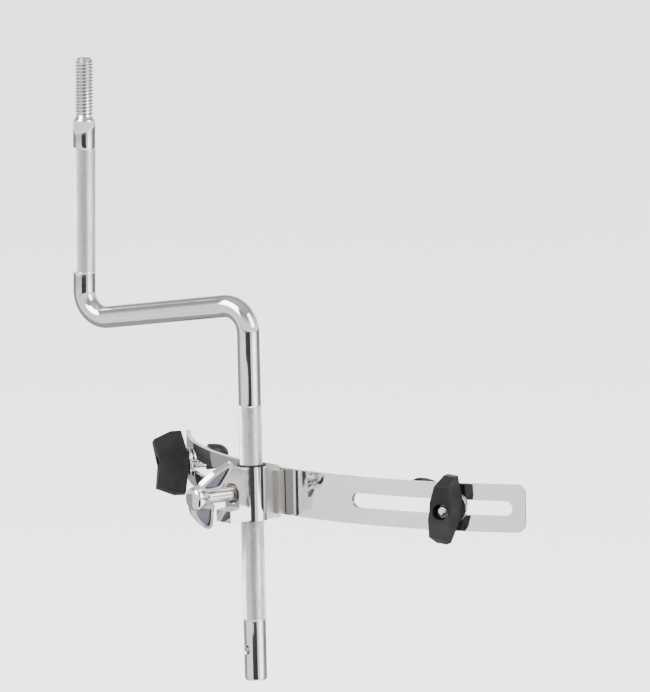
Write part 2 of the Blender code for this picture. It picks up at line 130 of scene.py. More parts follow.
def fillet_path(corners, radius, steps=10):
    pts = [Vector(corners[0])]
    for a, b, c in zip(corners, corners[1:], corners[2:]):
        a, b, c = Vector(a), Vector(b), Vector(c)
        u, v = (a - b).normalized(), (c - b).normalized()
        half = u.angle(v) / 2
        centre = b + (u + v).normalized() * (radius / math.sin(half))
        cut = radius / math.tan(half)
        e0, e1 = b + u * cut - centre, b + v * cut - centre
        axis = e0.cross(e1).normalized()
        pts += [centre + Matrix.Rotation(e0.angle(e1) * k / steps, 3, axis) @ e0 for k in range(steps + 1)]
    pts.append(Vector(corners[-1]))
    return pts


def rings_along(stations, segs, up):
    """Per station: (centre, ring directions), carried along without twist."""
    pts = [Vector(s[0]) for s in stations]
    tang = []
    for i in range(len(pts)):
        d = Vector((0, 0, 0))
        if i and (pts[i] - pts[i - 1]).length > 1e-6:
            d += (pts[i] - pts[i - 1]).normalized()
        if i < len(pts) - 1 and (pts[i + 1] - pts[i]).length > 1e-6:
            d += (pts[i + 1] - pts[i]).normalized()
        tang.append(d.normalized())
    x = (up - tang[0] * up.dot(tang[0])).normalized()
    out = []
    for i, t in enumerate(tang):
        if i:
            x = tang[i - 1].rotation_difference(t) @ x
            x = (x - t * x.dot(t)).normalized()
        y = t.cross(x)
        out.append((pts[i], [x * math.cos(2 * math.pi * k / segs) + y * math.sin(2 * math.pi * k / segs)
                             for k in range(segs)]))
    return out


def sweep(stations, segs=64, up=Vector((0.31, 0.93, 0.17)), bore=None):
    bm = bmesh.new()
    frames = rings_along(stations, segs, up)
    outer = [[bm.verts.new((p + d * r) * MM) for d in dirs] for (p, dirs), (_, r) in zip(frames, stations)]
    sets = [outer]
    if bore:
        sets.append([[bm.verts.new((p + d * bore) * MM) for d in dirs] for p, dirs in frames])
    for rs in sets:
        for a, b in zip(rs, rs[1:]):
            for k in range(segs):
                m = (k + 1) % segs
                bm.faces.new((a[k], a[m], b[m], b[k]))
    for end in (0, -1):
        if bore:
            a, b = sets[0][end], sets[1][end]
            for k in range(segs):
                m = (k + 1) % segs
                bm.faces.new((a[k], a[m], b[m], b[k]))
        else:
            bm.faces.new(outer[end])
    return bm


def axes(origin, zdir, xdir):
    z = Vector(zdir).normalized()
    x = Vector(xdir)
    x = (x - z * x.dot(z)).normalized()
    m = Matrix((x, z.cross(x), z)).transposed().to_4x4()
    m.translation = Vector(origin) * MM
    return m


def all_faces(ob, index):
    for f in ob.data.polygons:
        f.material_index = index
    return ob


def place(ob, matrix):
    ob.data.transform(matrix)
    return ob


def apply_modifiers(ob):
    dg = bpy.context.evaluated_depsgraph_get()
    dg.update()
    me = bpy.data.meshes.new_from_object(ob.evaluated_get(dg))
    old = ob.data
    ob.modifiers.clear()
    ob.data = me
    bpy.data.meshes.remove(old)
    return ob


def weld(ob, dist=0.00001):
    bm = bmesh.new()
    bm.from_mesh(ob.data)
    bmesh.ops.remove_doubles(bm, verts=bm.verts, dist=dist)
    bmesh.ops.dissolve_degenerate(bm, edges=bm.edges, dist=dist / 2)
    bm.to_mesh(ob.data)
    bm.free()
    return ob


def boolean(ob, cutter, operation="DIFFERENCE"):
    m = ob.modifiers.new("bool", "BOOLEAN")
    m.operation, m.solver, m.object = operation, "EXACT", cutter
    apply_modifiers(ob)
    bpy.data.objects.remove(cutter, do_unlink=True)
    return weld(ob)


def cut_round(ob, profile, segs, matrix):
    """Cuts a turned shape, standing at matrix, out of ob."""
    return boolean(ob, place(new_object("cut", lathe(profile, segs)), matrix))


def round_edges(ob, width, angle=35.0, segs=3):
    m = ob.modifiers.new("round", "BEVEL")
    m.width, m.segments, m.limit_method, m.angle_limit = width * MM, segs, "ANGLE", math.radians(angle)
    return apply_modifiers(ob)


def shade(ob, angle=40.0, weighted=True):
    for f in ob.data.polygons:
        f.use_smooth = True
    ob.data.set_sharp_from_angle(angle=math.radians(angle))
    if weighted:
        m = ob.modifiers.new("weighted", "WEIGHTED_NORMAL")
        m.keep_sharp, m.weight = True, 60
        apply_modifiers(ob)
    return ob


def join(name, objs):
    bm = bmesh.new()
    mats = []
    for ob in objs:
        for m in ob.data.materials:
            if m not in mats:
                mats.append(m)
    me = bpy.data.meshes.new(name)
    for ob in objs:
        remap = [mats.index(m) for m in ob.data.materials] or [0]
        start = len(bm.faces)
        bm.from_mesh(ob.data)
        bm.faces.ensure_lookup_table()
        for f in bm.faces[start:]:
            f.material_index = remap[min(f.material_index, len(remap) - 1)]
    bm.to_mesh(me)
    bm.free()
    for m in mats:
        me.materials.append(m)
    for ob in objs:
        bpy.data.objects.remove(ob, do_unlink=True)
    return link(name, me)


def thread(p0, axis, length, root, crest, pitch, segs=48, xdir=(1, 0, 0), fade=1.0):
    """A helical V thread as one sleeve: rows follow the helix, and both ends run out to the root."""
    n = 6
    shape = [(0.0, 0.0), (0.17, 0.05), (0.44, 1.0), (0.5, 1.0), (0.56, 1.0), (0.83, 0.05)]
    m = axes(p0, axis, xdir)
    bm = bmesh.new()
    turns = int(math.ceil(length / pitch)) + 2
    rows = []
    for i in range(-n, turns * n):
        frac, h = shape[i % n]
        row = []
        for k in range(segs):
            z = pitch * (i // n + frac + k / segs)
            zc = min(max(z, 0.0), length)
            run = max(0.0, min(1.0, zc / (fade * pitch), (length - zc) / (fade * pitch)))
            r = root + (crest - root) * h * run
            a = 2 * math.pi * k / segs
            row.append(bm.verts.new(m @ Vector((r * math.cos(a) * MM, r * math.sin(a) * MM, zc * MM))))
        rows.append(row)
    for i in range(len(rows) - 1):
        for k in range(segs - 1):
            bm.faces.new((rows[i][k], rows[i][k + 1], rows[i + 1][k + 1], rows[i + 1][k]))
        if i + n + 1 < len(rows):
            bm.faces.new((rows[i][-1], rows[i + n][0], rows[i + n + 1][0], rows[i + 1][-1]))
    bmesh.ops.remove_doubles(bm, verts=bm.verts, dist=1e-7)
    bmesh.ops.dissolve_degenerate(bm, edges=bm.edges, dist=1e-7)
    return bm


def knurl(p0, p1, low, high, teeth=34, pitch=0.9):
    """Diamond knurl: rows of four-sided pyramids round the bar."""
    p0, p1 = Vector(p0), Vector(p1)
    length = (p1 - p0).length
    m = axes(p0, p1 - p0, (1, 0, 0))
    rows = max(2, round(length / (pitch / 2)))
    step = length / rows
    bm = bmesh.new()

    def vert(r, a, z):
        return bm.verts.new(m @ Vector((r * math.cos(a) * MM, r * math.sin(a) * MM, z * MM)))

    da = 2 * math.pi / teeth
    grid = [[vert(low, da * (k + 0.5 * (i % 2)), step * i) for k in range(teeth)] for i in range(rows + 1)]
    for i in range(1, rows):
        odd = i % 2
        for k in range(teeth):
            left, right = grid[i][k], grid[i][(k + 1) % teeth]
            up, down = (grid[i + 1][(k + odd) % teeth], grid[i - 1][(k + odd) % teeth])
            # each diamond is cut flat near its top, as a worn knurl is
            a = da * (k + 0.5 + 0.5 * odd)
            t = 0.34
            z = step * i
            tl, tr = vert(high, a - da / 2 * t, z), vert(high, a + da / 2 * t, z)
            tu, td = vert(high, a, z + step * t), vert(high, a, z - step * t)
            bm.faces.new((tl, td, tr, tu))
            for q in ((left, down, td, tl), (down, right, tr, td), (right, up, tu, tr), (up, left, tl, tu)):
                bm.faces.new(q)
    for i, d in ((0, 1), (rows, -1)):
        j = i + d
        odd = i % 2
        for k in range(teeth):
            bm.faces.new((grid[i][k], grid[i][(k + 1) % teeth], grid[j][(k + odd) % teeth]))
    return bm


# ---------------------------------------------------------------- materials
def nodes_of(name):
    m = bpy.data.materials.new(name)
    m.use_nodes = True
    nt = m.node_tree
    return m, nt, nt.nodes["Principled BSDF"]


def link_noise(nt, scale, detail=2.0, rough=0.5):
    tc = nt.nodes.new("ShaderNodeTexCoord")
    nz = nt.nodes.new("ShaderNodeTexNoise")
    nz.inputs["Scale"].default_value = scale
    nz.inputs["Detail"].default_value = detail
    nz.inputs["Roughness"].default_value = rough
    nt.links.new(tc.outputs["Object"], nz.inputs["Vector"])
    return nz


def ramp(nt, src, stops):
    r = nt.nodes.new("ShaderNodeValToRGB")
    while len(r.color_ramp.elements) < len(stops):
        r.color_ramp.elements.new(0.5)
    for e, (pos, col) in zip(r.color_ramp.elements, stops):
        e.position = pos
        e.color = (*col, 1.0)
    nt.links.new(src, r.inputs["Fac"])
    return r


def map_range(nt, src, lo, hi, a=0.0, b=1.0):
    n = nt.nodes.new("ShaderNodeMapRange")
    n.inputs["From Min"].default_value, n.inputs["From Max"].default_value = a, b
    n.inputs["To Min"].default_value, n.inputs["To Max"].default_value = lo, hi
    nt.links.new(src, n.inputs["Value"])
    return n


def bump(nt, bsdf, src, strength, distance):
    b = nt.nodes.new("ShaderNodeBump")
    b.inputs["Strength"].default_value = strength
    b.inputs["Distance"].default_value = distance
    nt.links.new(src, b.inputs["Height"])
    nt.links.new(b.outputs["Normal"], bsdf.inputs["Normal"])


def chrome(name, tone=(0.80, 0.80, 0.79), rough=(0.05, 0.11), ripple=0.10, dirt=0.10):
    """Plated steel: slightly uneven gloss, a faint ripple in the plate and a dull film in places."""
    m, nt, b = nodes_of(name)
    b.inputs["Metallic"].default_value = 1.0
    film = link_noise(nt, 55.0, 4.0, rough=0.62)
    dark = tuple(c * (1 - dirt) for c in tone)
    col = ramp(nt, film.outputs["Fac"], [(0.33, dark), (0.62, tone)])
    nt.links.new(col.outputs["Color"], b.inputs["Base Color"])
    rg = map_range(nt, film.outputs["Fac"], rough[1], rough[0], 0.3, 0.7)
    nt.links.new(rg.outputs["Result"], b.inputs["Roughness"])
    if ripple:
        rip = link_noise(nt, 130.0, 2.0)
        bump(nt, b, rip.outputs["Fac"], ripple, 0.0004)
    return m


def plastic(name, rgb, rough=(0.36, 0.50), grain=900.0, depth=0.25):
    m, nt, b = nodes_of(name)
    fine = link_noise(nt, grain, 3.0)
    broad = link_noise(nt, 90.0, 3.0)
    lighter = tuple(min(1.0, c * 1.8 + 0.004) for c in rgb)
    col = ramp(nt, broad.outputs["Fac"], [(0.35, rgb), (0.75, lighter)])
    nt.links.new(col.outputs["Color"], b.inputs["Base Color"])
    rg = map_range(nt, broad.outputs["Fac"], rough[0], rough[1], 0.3, 0.7)
    nt.links.new(rg.outputs["Result"], b.inputs["Roughness"])
    bump(nt, b, fine.outputs["Fac"], depth, 0.00012)
    b.inputs["Specular IOR Level"].default_value = 0.25
    return m


def brass(name):
    m, nt, b = nodes_of(name)
    b.inputs["Metallic"].default_value = 1.0
    nz = link_noise(nt, 260.0, 4.0)
    col = ramp(nt, nz.outputs["Fac"], [(0.3, (0.10, 0.082, 0.066)), (0.65, (0.26, 0.215, 0.17))])
    nt.links.new(col.outputs["Color"], b.inputs["Base Color"])
    rg = map_range(nt, nz.outputs["Fac"], 0.5, 0.25, 0.3, 0.7)
    nt.links.new(rg.outputs["Result"], b.inputs["Roughness"])
    return m


M_ROD = chrome("rod_chrome_plate", (0.79, 0.79, 0.775), (0.05, 0.10), 0.05)
M_KNURL = chrome("rod_knurl_plate", (0.80, 0.80, 0.78), (0.20, 0.30), 0.0, 0.16)
M_BAND = chrome("band_mirror_plate", (0.83, 0.83, 0.825), (0.025, 0.06), 0.06, 0.06)
M_CLAMP = chrome("clamp_plate", (0.81, 0.81, 0.81), (0.05, 0.10), 0.16)
M_CAST = chrome("clamp_satin_sides", (0.66, 0.64, 0.60), (0.34, 0.46), 0.2, 0.18)
M_WING = chrome("wing_plate", (0.80, 0.79, 0.81), (0.06, 0.12), 0.18)
# painted shade: the wing's recessed web gets a dark tone that stands in for the dark reflections in the recess
M_WEB_PAINTED_SHADE = chrome("wing_web_painted_shade", (0.22, 0.20, 0.25), (0.22, 0.32), 0.2, 0.2)
M_THREAD = chrome("thread_plate", (0.74, 0.74, 0.73), (0.12, 0.20), 0.0, 0.2)
M_HOOK = chrome("hook_plate", (0.76, 0.76, 0.755), (0.08, 0.15), 0.05)
M_WASHER = chrome("washer_plate", (0.80, 0.80, 0.80), (0.08, 0.14), 0.05)
M_RIVET = chrome("rivet_plate", (0.62, 0.62, 0.62), (0.25, 0.35), 0.08)
M_BRASS = brass("aged_brass")
M_NYLON = plastic("liner_black_nylon", (0.012, 0.012, 0.013), (0.40, 0.55))
M_VINYL = plastic("sleeve_black_vinyl", (0.010, 0.010, 0.011), (0.30, 0.42), 500.0)
M_NUT = plastic("nut_black_plastic", (0.004, 0.004, 0.0048), (0.36, 0.48), 800.0, 0.35)


def finish_piece(ob, body, slot, *nodes):
    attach(ob, body)
    if nodes:
        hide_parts(*nodes)
    return ob


# ---------------------------------------------------------------- band
def radial(deg):
    a = math.radians(deg)
    return Vector((math.sin(a), -math.cos(a), 0.0))


def column_solid(columns, r_in, r_out):
    bm = bmesh.new()
    rows = []
    for deg, z0, z1 in columns:
        col = []
        for r in (r_in, r_out):
            p = DRUM_AXIS + radial(deg) * r
            col.append((bm.verts.new((p.x * MM, p.y * MM, z0 * MM)), bm.verts.new((p.x * MM, p.y * MM, z1 * MM))))
        rows.append(col)
    for ((ail, aih), (aol, aoh)), ((bil, bih), (bol, boh)) in zip(rows, rows[1:]):
        for q in ((ail, aih, bih, bil), (aol, bol, boh, aoh), (ail, bil, bol, aol), (aih, aoh, boh, bih)):
            bm.faces.new(q)
    for (il, ih), (ol, oh) in (rows[0], rows[-1]):
        bm.faces.new((il, ol, oh, ih))
    return bm


def rounded_columns(d0, d1, half_h, corner, radius, step=0.6, arc=12):
    cd = corner / (math.radians(1) * radius)
    first = 0.12 if corner >= half_h else 0.0
    cols = []
    for k in range(arc + 1):
        t = first + (math.pi / 2 - first) * k / arc
        cols.append((d0 + cd * (1 - math.cos(t)), half_h - corner * (1 - math.sin(t))))
    n = max(1, round((d1 - d0 - 2 * cd) / step))
    cols += [(d0 + cd + (d1 - d0 - 2 * cd) * k / n, half_h) for k in range(1, n)]
    cols += [(d0 + d1 - d, h) for d, h in cols[arc::-1]]
    return [(d, -h, h) for d, h in cols]


def curved_normals(ob):
    """Exact radial normals on the band's two faces, so that it mirrors without facets."""
    me = ob.data
    for f in me.polygons:
        f.use_smooth = True
    bm = bmesh.new()
    bm.from_mesh(me)
    bm.normal_update()
    normals = []
    for v in bm.verts:
        out = Vector((v.co.x, v.co.y - DRUM_AXIS.y * MM, 0)).normalized()
        face_side, wall = 0, Vector((0, 0, 0))
        for f in v.link_faces:
            d = f.normal.dot(out)
            if d > 0.9985:
                face_side = 1
            elif d < -0.9985:
                face_side = -1
            elif abs(d) < 0.05:
                wall += f.normal * f.calc_area()
        if face_side:
            normals.append(out * face_side)
        elif wall.length > 0:
            normals.append(wall.normalized())
        else:
            normals.append(v.normal.copy())
    bm.free()
    me.normals_split_custom_set_from_vertices(normals)


band = new_object("band_plate", column_solid(
    rounded_columns(-BAND_HALF_DEG, BAND_HALF_DEG, BAND_H / 2, BAND_CORNER_R, BAND_R_IN + BAND_T),
    BAND_R_IN, BAND_R_IN + BAND_T), (M_BAND,))
for sign in (-1, 1):
    lo, hi = sorted((sign * SLOT_DEG[0], sign * SLOT_DEG[1]))
    boolean(band, new_object("cut", column_solid(
        rounded_columns(lo, hi, SLOT_H / 2, SLOT_H / 2, BAND_R_IN + BAND_T, arc=14), BAND_R_IN - 4, BAND_R_IN + 6)))
for z in RIVET_Z:
    cut_round(band, [(RIVET_HOLE_R, -8), (RIVET_HOLE_R, 8)], 32, axes((0, 0, z), OUT, (1, 0, 0)))
round_edges(band, 0.4, 40, 3)
curved_normals(band)
finish_piece(band, "bracket", "band_chrome", "bracket_band")

# ---------------------------------------------------------------- clamp casting
CAST_MATS = (M_CLAMP, M_CAST)
rod_m = Matrix.Translation((0, ROD_Y * MM, 0))
clamp = new_object("clamp_casting", lathe([(BARREL_R, CLAMP_Z[0]), (BARREL_R, CLAMP_Z[1])], 96), CAST_MATS)
place(clamp, rod_m)


def box(half_w, y0, y1, z0, z1, mats=()):
    return new_object("cut", prism([(-half_w, y0), (half_w, y0), (half_w, y1), (-half_w, y1)], z0, z1), mats)


neck = box(NECK_HALF_W, ROD_Y, FOOT_BACK_Y, CLAMP_Z[0] + 0.4, CLAMP_Z[1] - 0.4, CAST_MATS)
foot = box(FOOT_HALF_W, FOOT_FRONT_Y, FOOT_BACK_Y, -FOOT_HALF_H, FOOT_HALF_H, CAST_MATS)
for solid in (neck, foot):
    boolean(clamp, all_faces(solid, 1), "UNION")
front = [(2.0, 11.0), (6.9, 11.0), (BOSS_FACE, 5.6), (BOSS_FACE, -5.6),
         (HEEL_FACE, -6.2), (HEEL_FACE, -11.2), (2.0, -11.2)]
block = new_object("cut", prism(front, -BOSS_HALF_W, BOSS_HALF_W))
place(block, Matrix(((0, 0, -1, 0), (-1, 0, 0, ROD_Y * MM), (0, 1, 0, 0), (0, 0, 0, 1))))
boolean(clamp, block, "UNION")
round_edges(clamp, 0.7, 40, 4)
cut_round(clamp, [(BORE_R, -20), (BORE_R, 20)], 96, rod_m)
bolt_m = axes((0, ROD_Y, BOLT_Z), OUT, (1, 0, 0))
cut_round(clamp, [(3.3, 3.0), (3.3, 8.0), (4.3, 8.0), (4.3, 20.0)], 64, bolt_m)
seat_r = BAND_R_IN + BAND_T + 0.3
cut_round(clamp, [(seat_r, -30), (seat_r, 30)], 720, Matrix.Translation(DRUM_AXIS * MM))
for z in RIVET_Z:
    cut_round(clamp, [(RIVET_HOLE_R, 0), (RIVET_HOLE_R, 7.0)], 24, axes((0, 0.5, z), OUT, (1, 0, 0)))
round_edges(clamp, 0.25, 50, 2)
shade(clamp, 50)
finish_piece(clamp, "bracket", "clamp_chrome", "rod_clamp")

for node, material in (("clamp_rivet_lower", M_RIVET), ("clamp_rivet_upper", M_RIVET), ("clamp_pad", M_BRASS)):
    NODES[node].data.materials.clear()
    NODES[node].data.materials.append(material)

insert = place(new_object("bolt_insert_ring", lathe(
    [(INSERT_BORE_R, 8.3), (4.0, 8.3), (4.0, 11.05), (3.9, 11.3), (3.7, 11.45), (3.35, 11.5), (3.15, 11.35),
     (INSERT_BORE_R, 11.1)],
    64, closed=True), (M_BRASS,)), bolt_m)
shade(insert)
finish_piece(insert, "bracket", "insert_brass", "bolt_insert")

liner_top = CLAMP_Z[1]
liner = new_object("liner_sleeve", lathe(
    [(LINER_R[0], CLAMP_Z[0] + 0.3), (LINER_R[1], CLAMP_Z[0] + 0.3), (LINER_R[1], liner_top + 0.15),
     (LINER_LIP_R - 0.15, liner_top + 0.15), (LINER_LIP_R, liner_top + 0.25), (LINER_LIP_R, liner_top + 0.45),
     (LINER_LIP_R - 0.25, liner_top + 0.65), (LINER_R[0] + 0.2, liner_top + 0.65), (LINER_R[0], liner_top + 0.5)],
    96, closed=True), (M_NYLON,))
place(liner, rod_m)
boolean(liner, box(0.6, ROD_Y + 3, ROD_Y + 9, -20, 20))
shade(liner)
finish_piece(liner, "swivel_liner", "liner_nylon", "rod_liner")

# ---------------------------------------------------------------- wing bolt
core = place(new_object("core", lathe(
    [(0, WB_TIP), (2.1, WB_TIP), (2.5, WB_TIP + 0.4), (2.5, 27.9), (0, 27.9)], 48), (M_THREAD,)), bolt_m)
shade(core, 30, False)
ridge = new_object("ridge", thread((0, ROD_Y - WB_TIP - 0.3, BOLT_Z), OUT, 27.7 - WB_TIP, 2.42, BOLT_CREST_R,
                                   BOLT_PITCH, 48), (M_THREAD,))
shade(ridge, 28, False)
shank = join("wing_bolt_thread", [core, ridge])
finish_piece(shank, "wing_bolt", "bolt_chrome", "wing_bolt_shank")

F = WB_FACE
head = new_object("wing_bolt_wings", lathe(
    [(0, F), (2.2, F - 0.06), (3.6, F - 0.3), (4.5, F - 0.75), (5.0, F - 1.4), (5.2, F - 2.2), (5.2, F - 4.6),
     (4.3, F - 6.2), (3.9, F - 7.2), (0, F - 7.2)], 96), (M_WING, M_WEB_PAINTED_SHADE))
wing_outline = [(F - 1.0, 1.5), (F - 0.9, 4.4), (F - 2.4, 7.4), (F - 5.2, 10.8), (F - 8.6, 13.8), (F - 12.0, 16.1),
                (F - 14.6, 17.2), (F - 16.0, 17.0), (F - 16.3, 15.6), (F - 15.5, 12.0), (F - 14.5, 8.6),
                (F - 13.9, 5.4), (F - 13.3, 3.9), (F - 12.0, 3.5), (F - 7.0, 3.5), (F - 5.0, 1.5)]
web_outline = [(F - 3.7, 5.4), (F - 6.1, 9.2), (F - 9.3, 12.5), (F - 12.6, 14.9), (F - 14.6, 15.7),
               (F - 14.2, 12.2), (F - 13.1, 8.4), (F - 12.3, 5.4)]


def smooth_outline(pts, rounds=2):
    for _ in range(rounds):
        out = []
        for a, b in zip(pts, pts[1:] + pts[:1]):
            a, b = Vector(a), Vector(b)
            out += [a * 0.75 + b * 0.25, a * 0.25 + b * 0.75]
        pts = [tuple(p) for p in out]
    return pts


for side in (1, -1):
    plane = axes((0, 0, 0), (-side, 0, 0), (0, 0, 1))
    wing = new_object("cut", prism(smooth_outline(wing_outline, 1), -WING_HALF_T, WING_HALF_T))
    boolean(head, place(wing, plane), "UNION")
    pocket = smooth_outline(web_outline, 2)
    for w0, w1 in ((WEB_HALF_T, 3.0), (-3.0, -WEB_HALF_T)):
        # the pocket faces take the dark web material, painted shade in the recess
        boolean(head, place(all_faces(new_object("cut", prism(pocket, w0, w1), (M_WING, M_WEB_PAINTED_SHADE)), 1), plane))
boolean(head, new_object("cut", lathe([(3.3, F - 20), (3.3, 28.2)], 48)))
round_edges(head, 0.35, 40, 3)
place(head, axes((0, ROD_Y, BOLT_Z), OUT, (-1, 0, 0)) @ Matrix.Rotation(math.radians(WB_TURN_DEG), 4, "Z"))
shade(head, 50)
finish_piece(head, "wing_bolt", "wing_chrome", "wing_bolt_head")

# ---------------------------------------------------------------- cranked rod
low, high = Vector(LOW_CORNER), Vector(HIGH_CORNER)
flat = Vector((low.x - high.x, low.y - high.y, 0)).normalized()
lean = math.radians(HIGH_LEAN_DEG)
up_dir = Vector((flat.x * math.sin(lean), flat.y * math.sin(lean), math.cos(lean)))


def on_high(z):
    return high + up_dir * ((z - high.z) / up_dir.z)


def on_low(z):
    return Vector((0, ROD_Y, z))


bend = fillet_path([on_low(ROD_BOTTOM_Z), low, high, on_high(ROD_TOP_Z)], BEND_R, 24)[1:-1]


def knurl_seat(z0, z1, on):
    """The bar sinks a little under a knurled length, which stands in the recess."""
    sink = KNURL_R - 0.30
    return [(on(z), r) for z, r in (
        (z0 - 0.5, ROD_R), (z0, ROD_R - 0.06), (z0 + 0.3, sink),
        (z1 - 0.3, sink), (z1, ROD_R - 0.06), (z1 + 0.5, ROD_R))]


st = [(on_low(ROD_BOTTOM_Z + dz), r) for dz, r in ((0, 3.7), (0.12, 4.15), (0.4, 4.5), (0.8, 4.7), (1.3, ROD_R))]
st += knurl_seat(*LOW_KNURL_Z, on_low)
st += [(p, ROD_R) for p in bend]
st += knurl_seat(*HIGH_KNURL_Z, on_high)
st += [(on_high(COLLAR_Z + dz), r) for dz, r in ((-1.2, ROD_R), (-0.6, 4.62), (-0.1, 4.25), (0.5, 3.75))]
st.append((on_high(STUD_BASE_Z - 0.1), 3.28))
st += [(on_high(ROD_TOP_Z - dz), r) for dz, r in (
    (1.7, 3.25), (1.0, 3.15), (0.45, 2.8), (0.12, 2.1), (0, 1.2))]
bar = new_object("bar", sweep(st, 96), (M_ROD, M_THREAD))
wide_r = CROSS_HOLE_R + 0.45
cut_round(bar, [(wide_r, -6), (wide_r, -4.62), (CROSS_HOLE_R, -4.2),
                (CROSS_HOLE_R, 4.2), (wide_r, 4.62), (wide_r, 6)], 48, axes((0, ROD_Y, CROSS_HOLE_Z), OUT, (1, 0, 0)))
shade(bar, 35, False)
parts = [bar]
for z0, z1, on in ((*LOW_KNURL_Z, on_low), (*HIGH_KNURL_Z, on_high)):
    k = new_object("knurl", knurl(on(z0), on(z1), KNURL_R - 0.26, KNURL_R - 0.005), (M_KNURL,))
    parts.append(k)
stud_length = ROD_TOP_Z - 0.8 - STUD_BASE_Z + 0.4
stud = new_object("stud", thread(on_high(STUD_BASE_Z - 0.4), up_dir, stud_length, 3.22, STUD_R, STUD_PITCH, 64,
                                 fade=0.8), (M_THREAD,))
shade(stud, 28, False)
parts.append(stud)
rod = join("z_rod_bar", parts)
finish_piece(rod, "rod", "rod_chrome", "z_rod")

# ---------------------------------------------------------------- hook bolts and wing nuts
nut_profile = [(0.0, 0.0), (0.35, 4.0), (2.1, NUT_SPAN), (6.9, NUT_SPAN), (14.9, 10.7), (13.1, 0.0),
               (14.9, -10.7), (6.9, -NUT_SPAN), (2.1, -NUT_SPAN), (0.35, -4.0)]
nut_plan = [(-4.8, 3.6), (-2.1, NUT_SPAN + 1), (2.1, NUT_SPAN + 1), (4.8, 3.6),
            (4.8, -3.6), (2.1, -NUT_SPAN - 1), (-2.1, -NUT_SPAN - 1), (-4.8, -3.6)]


def fastener(tag, deg, nut_turn):
    side = 1 if deg > 0 else -1
    out = radial(deg)
    t_in = Vector((-side * math.cos(math.radians(deg)), -side * math.sin(math.radians(deg)), 0))
    tilt = math.radians(HOOK_TILT_DEG)
    t = t_in * math.cos(tilt) + Vector((0, 0, 1)) * math.sin(tilt)

    def at(r, lateral=0.0):
        return DRUM_AXIS + out * r + t * lateral

    end_r = NUT_SEAT + HOOK_END_OUT
    pts = fillet_path([at(end_r), at(HOOK_RUN_R), at(HOOK_RUN_R, HOOK_SPAN), at(HOOK_RUN_R + 7.2, HOOK_SPAN)],
                      HOOK_BEND_R, 14)
    neck_r = HOOK_RUN_R + HOOK_BEND_R + 1.6
    st = [(at(r), w) for r, w in ((end_r, 1.6), (end_r - 0.15, 2.05), (end_r - 0.6, 2.45), (neck_r + 0.8, 2.45),
                                  (neck_r, HOOK_R))]
    st += [(p, HOOK_R) for p in pts[1:-1]]
    st += [(pts[-1] - out * 0.6, HOOK_R), (pts[-1] - out * 0.15, 2.4), (pts[-1], 1.9)]
    bar = new_object("bar", sweep(st, 48), (M_HOOK, M_THREAD))
    shade(bar, 35, False)
    ridge = new_object("ridge", thread(at(neck_r + 0.3), out, end_r - neck_r - 0.7, 2.43, BOLT_CREST_R, BOLT_PITCH,
                                       48, xdir=(0, 0, 1)), (M_THREAD,))
    shade(ridge, 28, False)
    hook = join("hook_" + tag, [bar, ridge])
    finish_piece(hook, tag + "_hook", "hook_chrome", "hook_bolt_" + tag)

    first, second, *rest = pts[1:-1]
    last, tip, rim_r = pts[-2], pts[-1], SLEEVE_R - 0.25
    st = [(first, rim_r), (first + (second - first) * 0.4, SLEEVE_R)] + [(p, SLEEVE_R) for p in (second, *rest)]
    st += [(last + (tip - last) * 0.5, SLEEVE_R), (last + (tip - last) * 0.6, rim_r)]
    sleeve = new_object("sleeve_" + tag, sweep(st, 40, bore=SLEEVE_BORE_R), (M_VINYL,))
    shade(sleeve, 45, False)
    finish_piece(sleeve, tag + "_hook", "sleeve_vinyl", "hook_sleeve_" + tag)

    base = axes(DRUM_AXIS + out * NUT_SEAT, out, (-out.y, out.x, 0))
    washer = place(new_object("washer_disc_" + tag, lathe(
        [(3.3, -1.3), (3.45, -1.4), (WASHER_R - 0.35, -1.4), (WASHER_R - 0.1, -1.3), (WASHER_R, -1.05),
         (WASHER_R, -0.5), (WASHER_R - 0.1, -0.28), (WASHER_R - 0.35, -0.2), (3.45, -0.2), (3.3, -0.3)],
        72, closed=True), (M_WASHER,)), base)
    shade(washer)
    finish_piece(washer, tag + "_washer", "washer_chrome", "washer_" + tag)

    spin = Matrix.Rotation(math.radians(nut_turn), 4, "Z")
    ins = place(new_object("insert_ring_" + tag, lathe(
        [(INSERT_BORE_R, 0.35), (3.3, 0.1), (3.75, 0.1), (INSERT_R, 0.25), (INSERT_R, 7.0), (INSERT_BORE_R, 7.0)],
        48, closed=True), (M_BRASS,)), base @ spin)
    shade(ins)
    finish_piece(ins, tag + "_nut", "insert_brass", "nut_insert_" + tag)

    nut = new_object("wing_nut_body_" + tag, prism(nut_plan, 0.0, 16.0), (M_NUT,))
    prof = place(new_object("cut", prism(nut_profile, -8, 8)), axes((0, 0, 0), (-1, 0, 0), (0, 0, 1)))
    boolean(nut, prof, "INTERSECT")
    hub = [(5.1, 0.0), (5.1, 0.8), (4.6, 3.6), (4.3, 12.9), (0, 12.9), (0, 0.0)]
    boolean(nut, new_object("cut", lathe(hub, 64)), "UNION")
    boolean(nut, new_object("cut", lathe([(4.2, -2.0), (4.2, 7.3), (3.35, 7.3), (3.35, 18.0)], 64)))
    round_edges(nut, 0.55, 24, 4)
    place(nut, base @ spin)
    shade(nut, 50)
    finish_piece(nut, tag + "_nut", "nut_plastic", "wing_nut_" + tag)


fastener("right", RIGHT_DEG, RIGHT_NUT_TURN_DEG)
fastener("left", LEFT_DEG, LEFT_NUT_TURN_DEG)

# ---------------------------------------------------------------- stage, light, camera
FLOOR_Z = -0.15


def stage_material(name, rgb, rough=0.8):
    m, nt, b = nodes_of(name)
    b.inputs["Base Color"].default_value = (*rgb, 1.0)
    b.inputs["Roughness"].default_value = rough
    b.inputs["Specular IOR Level"].default_value = 0.1
    return m


bm = bmesh.new()
bmesh.ops.create_grid(bm, x_segments=1, y_segments=1, size=30.0)
floor = new_object("studio_floor", bm, (stage_material("floor_paper", (0.88, 0.88, 0.88)),))
floor.location = (0, 0, FLOOR_Z)


